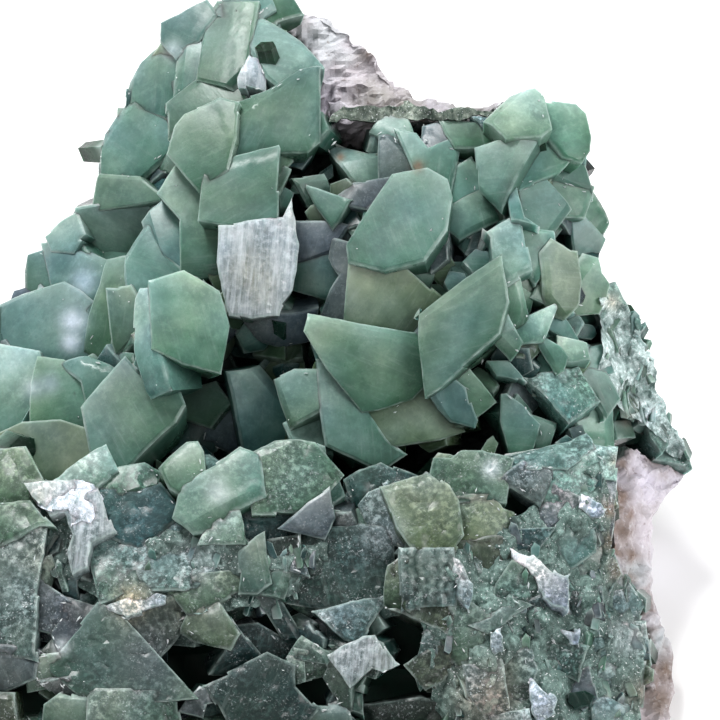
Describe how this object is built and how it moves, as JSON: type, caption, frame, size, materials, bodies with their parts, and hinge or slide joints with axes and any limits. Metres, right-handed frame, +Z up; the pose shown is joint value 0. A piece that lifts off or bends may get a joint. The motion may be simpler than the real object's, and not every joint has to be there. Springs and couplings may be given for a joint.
{
  "type": "heulandite specimen",
  "caption": "Loose mineral specimen: lobes of tabular, translucent grey-green crystals grown over a pale rock matrix that rests on a flat underside.",
  "frame": {"origin": "under the middle of the specimen, on its flat underside", "axes": "+Z up, +X to the viewer's right, -Y towards the viewer; the crystal face looks forward and up by 40 degrees"},
  "size_m": [0.0384, 0.0376, 0.0242],
  "materials": {
    "rock": "rough broken rock, pinkish white with brown stains",
    "crystal": "vitreous grey-green crystal faces, pearly on cleavage"
  },
  "bodies": {
    "root": {"matrix": "rock", "left_druse": "crystal", "right_druse": "crystal", "front_druse": "crystal"}
  },
  "joints": []
}
